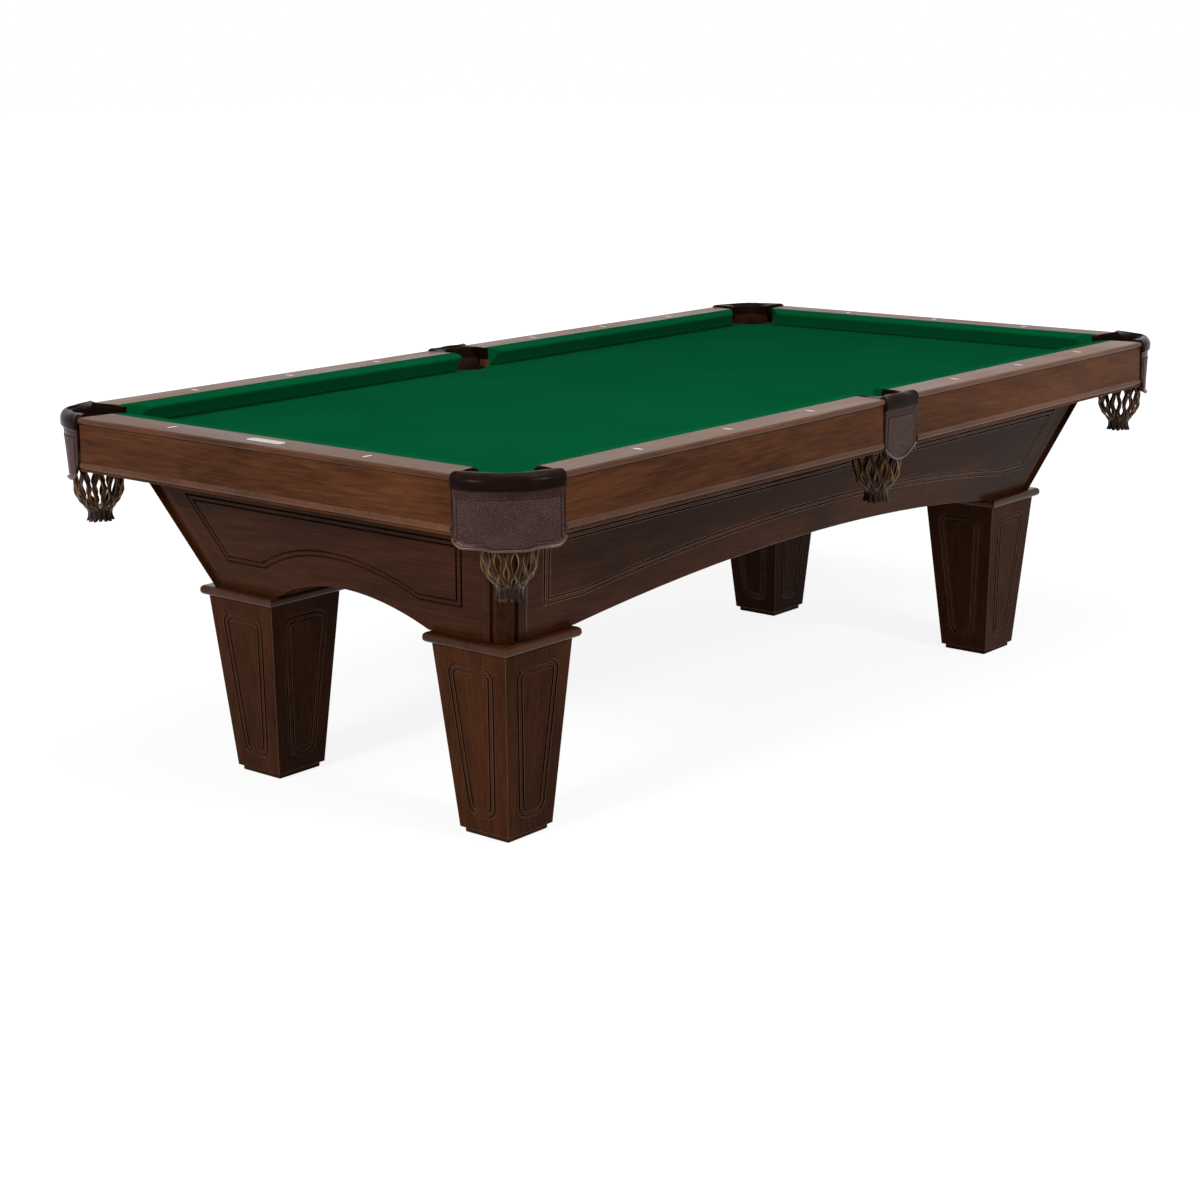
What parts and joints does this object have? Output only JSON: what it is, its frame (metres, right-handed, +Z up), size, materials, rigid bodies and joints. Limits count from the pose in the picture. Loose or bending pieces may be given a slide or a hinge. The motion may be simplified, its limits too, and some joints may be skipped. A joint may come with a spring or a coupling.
{
  "type": "pool table",
  "caption": "Slate-bed pool table with leather drop pockets, cloth-covered bed and cushions, a sloping panelled cabinet and square tapered legs on leveler feet.",
  "frame": {"origin": "on the floor under the middle of the bed", "axes": "+X along the table from the head end to the foot end, +Y across it to the left, +Z up"},
  "size_m": [2.4866, 1.3688, 0.806],
  "materials": {
    "stained_wood": "dark chestnut stain, satin lacquer",
    "frame_wood": "planed, unfinished",
    "slate": "ground flat",
    "cloth": "napped wool cloth",
    "leather": "waxed and tooled",
    "inlay": "polished pearl inlay",
    "plate": "brushed, plain",
    "steel": "zinc plated"
  },
  "bodies": {
    "table": {"apron_foot": "stained_wood", "apron_head": "stained_wood", "apron_left": "stained_wood", "apron_right": "stained_wood", "bed_cloth": "cloth", "corner_post_foot_left": "stained_wood", "corner_post_foot_right": "stained_wood", "corner_post_head_left": "stained_wood", "corner_post_head_right": "stained_wood", "cushions": "cloth", "frame_beams": "frame_wood", "leg_bolts": "steel", "leg_caps": "stained_wood", "leg_foot_left": "stained_wood", "leg_foot_right": "stained_wood", "leg_head_left": "stained_wood", "leg_head_right": "stained_wood", "leg_mount_blocks": "frame_wood", "leveler_nuts": "steel", "nameplate": "plate", "pocket_iron_foot_left": "leather", "pocket_iron_foot_right": "leather", "pocket_iron_head_left": "leather", "pocket_iron_head_right": "leather", "pocket_iron_side_left": "leather", "pocket_iron_side_right": "leather", "pocket_net_foot_left": "leather", "pocket_net_foot_right": "leather", "pocket_net_head_left": "leather", "pocket_net_head_right": "leather", "pocket_net_side_left": "leather", "pocket_net_side_right": "leather", "pocket_shield_foot_left": "leather", "pocket_shield_foot_right": "leather", "pocket_shield_head_left": "leather", "pocket_shield_head_right": "leather", "pocket_shield_side_left": "leather", "pocket_shield_side_right": "leather", "rail_bolts": "steel", "rail_foot": "stained_wood", "rail_foot_left": "stained_wood", "rail_foot_right": "stained_wood", "rail_head": "stained_wood", "rail_head_left": "stained_wood", "rail_head_right": "stained_wood", "sights": "inlay", "skirts": "stained_wood", "slate_foot": "slate", "slate_head": "slate", "slate_middle": "slate", "slate_screws": "steel"},
    "foot_head_right": {"leveler_foot_head_right": "stained_wood"},
    "stud_head_right": {"leveler_stud_head_right": "steel"},
    "foot_head_left": {"leveler_foot_head_left": "stained_wood"},
    "stud_head_left": {"leveler_stud_head_left": "steel"},
    "foot_foot_right": {"leveler_foot_foot_right": "stained_wood"},
    "stud_foot_right": {"leveler_stud_foot_right": "steel"},
    "foot_foot_left": {"leveler_foot_foot_left": "stained_wood"},
    "stud_foot_left": {"leveler_stud_foot_left": "steel"}
  },
  "joints": [
    {"name": "foot_slide_head_right", "type": "slide", "parent": "table", "child": "foot_head_right", "axis": [0, 0, -1], "range_m": [0, 0.02]},
    {"name": "stud_turn_head_right", "type": "hinge", "parent": "foot_head_right", "child": "stud_head_right", "pos_m": [-0.8978, -0.3333, 0.057], "axis": [0, 0, 1], "range_deg": [0, 3600]},
    {"name": "foot_slide_head_left", "type": "slide", "parent": "table", "child": "foot_head_left", "axis": [0, 0, -1], "range_m": [0, 0.02]},
    {"name": "stud_turn_head_left", "type": "hinge", "parent": "foot_head_left", "child": "stud_head_left", "pos_m": [-0.8978, 0.3333, 0.057], "axis": [0, 0, 1], "range_deg": [0, 3600]},
    {"name": "foot_slide_foot_right", "type": "slide", "parent": "table", "child": "foot_foot_right", "axis": [0, 0, -1], "range_m": [0, 0.02]},
    {"name": "stud_turn_foot_right", "type": "hinge", "parent": "foot_foot_right", "child": "stud_foot_right", "pos_m": [0.8978, -0.3333, 0.057], "axis": [0, 0, 1], "range_deg": [0, 3600]},
    {"name": "foot_slide_foot_left", "type": "slide", "parent": "table", "child": "foot_foot_left", "axis": [0, 0, -1], "range_m": [0, 0.02]},
    {"name": "stud_turn_foot_left", "type": "hinge", "parent": "foot_foot_left", "child": "stud_foot_left", "pos_m": [0.8978, 0.3333, 0.057], "axis": [0, 0, 1], "range_deg": [0, 3600]}
  ],
  "couplings": [
    {"joint": "stud_turn_head_right", "follows": "foot_slide_head_right", "rad_per_m": 3141.6},
    {"joint": "stud_turn_head_left", "follows": "foot_slide_head_left", "rad_per_m": 3141.6},
    {"joint": "stud_turn_foot_right", "follows": "foot_slide_foot_right", "rad_per_m": 3141.6},
    {"joint": "stud_turn_foot_left", "follows": "foot_slide_foot_left", "rad_per_m": 3141.6}
  ]
}
